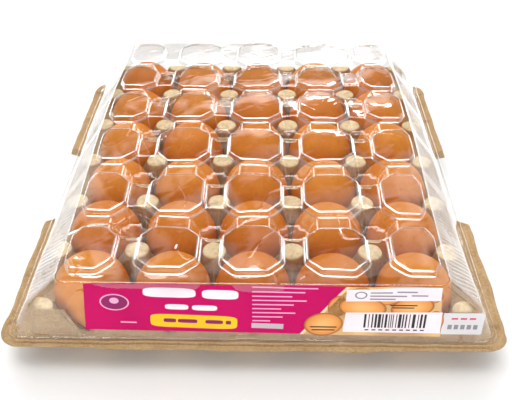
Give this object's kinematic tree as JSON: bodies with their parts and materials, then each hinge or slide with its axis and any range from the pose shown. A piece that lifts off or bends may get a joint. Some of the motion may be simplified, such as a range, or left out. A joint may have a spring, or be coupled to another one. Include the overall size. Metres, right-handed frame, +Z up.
{
  "type": "egg carton with eggs",
  "caption": "Moulded pulp egg tray filled with brown hen eggs, shut by a clear domed lid with a coloured label on its front wall.",
  "frame": {"origin": "middle of the tray's outline on the surface it stands on", "axes": "+X to the right along a row of five eggs, +Y from the label to the back, +Z up"},
  "size_m": [0.299, 0.3044, 0.0804],
  "materials": {
    "pulp": "moulded pulp, rough and fibrous, tan",
    "eggshell": "brown eggshell, satin, finely pored and speckled",
    "clear_film": "clear thermoformed plastic sheet, glossy, with fine ribs and dents",
    "label_print": "gloss printed label, magenta with yellow, white and orange fields",
    "sticker_paper": "matt pale grey price-gun sticker with plain bars"
  },
  "bodies": {
    "root": {"tray": "pulp", "egg_r1_c1": "eggshell", "egg_r1_c2": "eggshell", "egg_r1_c3": "eggshell", "egg_r1_c4": "eggshell", "egg_r1_c5": "eggshell", "egg_r2_c1": "eggshell", "egg_r2_c2": "eggshell", "egg_r2_c3": "eggshell", "egg_r2_c4": "eggshell", "egg_r2_c5": "eggshell", "egg_r3_c1": "eggshell", "egg_r3_c2": "eggshell", "egg_r3_c3": "eggshell", "egg_r3_c4": "eggshell", "egg_r3_c5": "eggshell", "egg_r4_c1": "eggshell", "egg_r4_c2": "eggshell", "egg_r4_c3": "eggshell", "egg_r4_c4": "eggshell", "egg_r4_c5": "eggshell", "egg_r5_c1": "eggshell", "egg_r5_c2": "eggshell", "egg_r5_c3": "eggshell", "egg_r5_c4": "eggshell", "egg_r5_c5": "eggshell", "egg_r6_c1": "eggshell", "egg_r6_c2": "eggshell", "egg_r6_c3": "eggshell", "egg_r6_c4": "eggshell", "egg_r6_c5": "eggshell", "lid": "clear_film", "label": "label_print", "date_sticker": "sticker_paper"}
  },
  "joints": []
}
